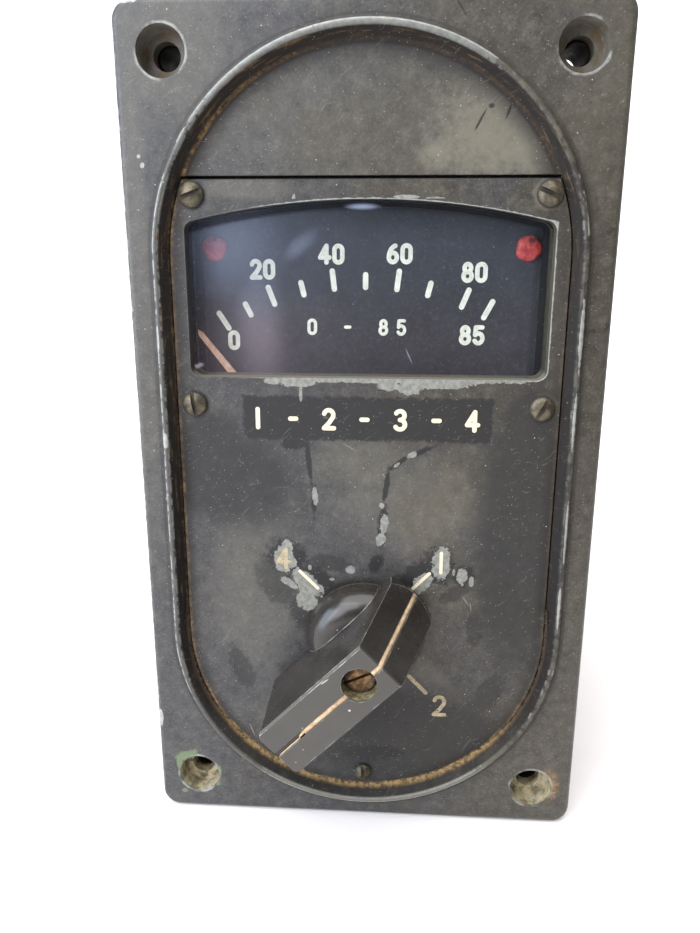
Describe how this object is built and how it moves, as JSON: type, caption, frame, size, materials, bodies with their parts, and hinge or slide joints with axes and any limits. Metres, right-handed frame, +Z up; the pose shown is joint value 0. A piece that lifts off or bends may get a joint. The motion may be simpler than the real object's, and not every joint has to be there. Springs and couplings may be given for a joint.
{
  "type": "aircraft oil quantity gauge",
  "caption": "Panel gauge: flanged black face, raised obround rim, arched dial window with pointer, bar-knob tank selector, long case with rear multi-pin connector.",
  "frame": {"origin": "centre of the four mounting holes, on the back face of the flange", "axes": "+X to the right of the dial, +Z up the dial, the dial faces -Y and the case runs to +Y"},
  "size_m": [0.0826, 0.133, 0.1492],
  "materials": {
    "frame_paint": "worn satin black enamel on cast alloy, chipped to bare metal along the rim",
    "plate_paint": "worn flat black paint on alloy sheet with chips and dirt",
    "case_paint": "black wrinkle-free enamel on drawn sheet",
    "dial_black": "flat black dial paint",
    "mask_black": "matt black card and composition",
    "seal_red": "red sealing lacquer over screw heads",
    "screw_steel": "blackened steel, worn",
    "bright_steel": "bright machined steel",
    "alloy": "satin alloy",
    "brass": "dull brass",
    "copper_wire": "enamelled copper winding",
    "pointer_alloy": "thin alloy with aged orange luminous paint",
    "magnet": "cast magnet alloy",
    "glass": "flat window glass with handling haze",
    "rubber": "black rubber",
    "bakelite": "satin black-brown moulded phenolic",
    "phenolic": "brown laminated phenolic",
    "wire": "lacquered cotton wire covering"
  },
  "bodies": {
    "case": {"front_frame": "frame_paint", "mount_nuts": "brass", "cover_plate": "plate_paint", "cover_screws": "screw_steel", "window_glass": "glass", "glass_gasket": "rubber", "glass_retainer": "mask_black", "dial_plate": "dial_black", "dial_mask": "mask_black", "dial_screws": "seal_red", "dial_posts": "brass", "front_posts": "alloy", "front_chassis_plate": "alloy", "chassis_pillars": "alloy", "rear_chassis_plate": "alloy", "rear_posts": "alloy", "case_shell": "case_paint", "case_gasket": "rubber", "rear_cover": "case_paint", "rear_cover_screws": "screw_steel", "connector_shell": "alloy", "connector_insert": "phenolic", "connector_pins": "brass", "connector_screws": "screw_steel", "movement_front_plate": "brass", "movement_cup": "bright_steel", "stator_core": "bright_steel", "stator_coils": "copper_wire", "jewel_screw": "brass", "movement_screws": "bright_steel", "pointer_stops": "brass", "shaft_bush": "brass", "bush_nut": "bright_steel", "detent_plate": "alloy", "detent_spring": "bright_steel", "detent_spring_screws": "bright_steel", "switch_spacers": "alloy", "switch_wafers": "phenolic", "switch_contacts": "brass", "tie_rods": "bright_steel", "tie_rod_nuts": "bright_steel", "calibration_board": "phenolic", "board_spacers": "alloy", "resistor_spools": "phenolic", "resistor_windings": "copper_wire", "terminal_tags": "brass", "wiring_loom": "wire", "loom_grommet": "rubber"},
    "pointer": {"pointer_arm": "pointer_alloy", "pointer_hub": "brass", "pointer_staff": "bright_steel", "rotor_magnet": "magnet", "balance_weight": "brass"},
    "selector": {"knob": "bakelite", "knob_insert": "brass", "knob_screw": "brass", "selector_shaft": "bright_steel", "shaft_clip": "bright_steel", "detent_wheel": "brass", "switch_rotors": "phenolic"}
  },
  "joints": [
    {"name": "pointer_turn", "type": "hinge", "parent": "case", "child": "pointer", "pos_m": [-0.0007, 0, -0.017], "axis": [0, 1, 0], "range_deg": [0, 69], "stiffness_Nm_per_rad": 0.00002, "springref_deg": -11.46},
    {"name": "selector_turn", "type": "hinge", "parent": "case", "child": "selector", "pos_m": [0, 0, -0.0346], "axis": [0, 1, 0], "range_deg": [0, 270], "deforming": ["detent_spring"]}
  ]
}
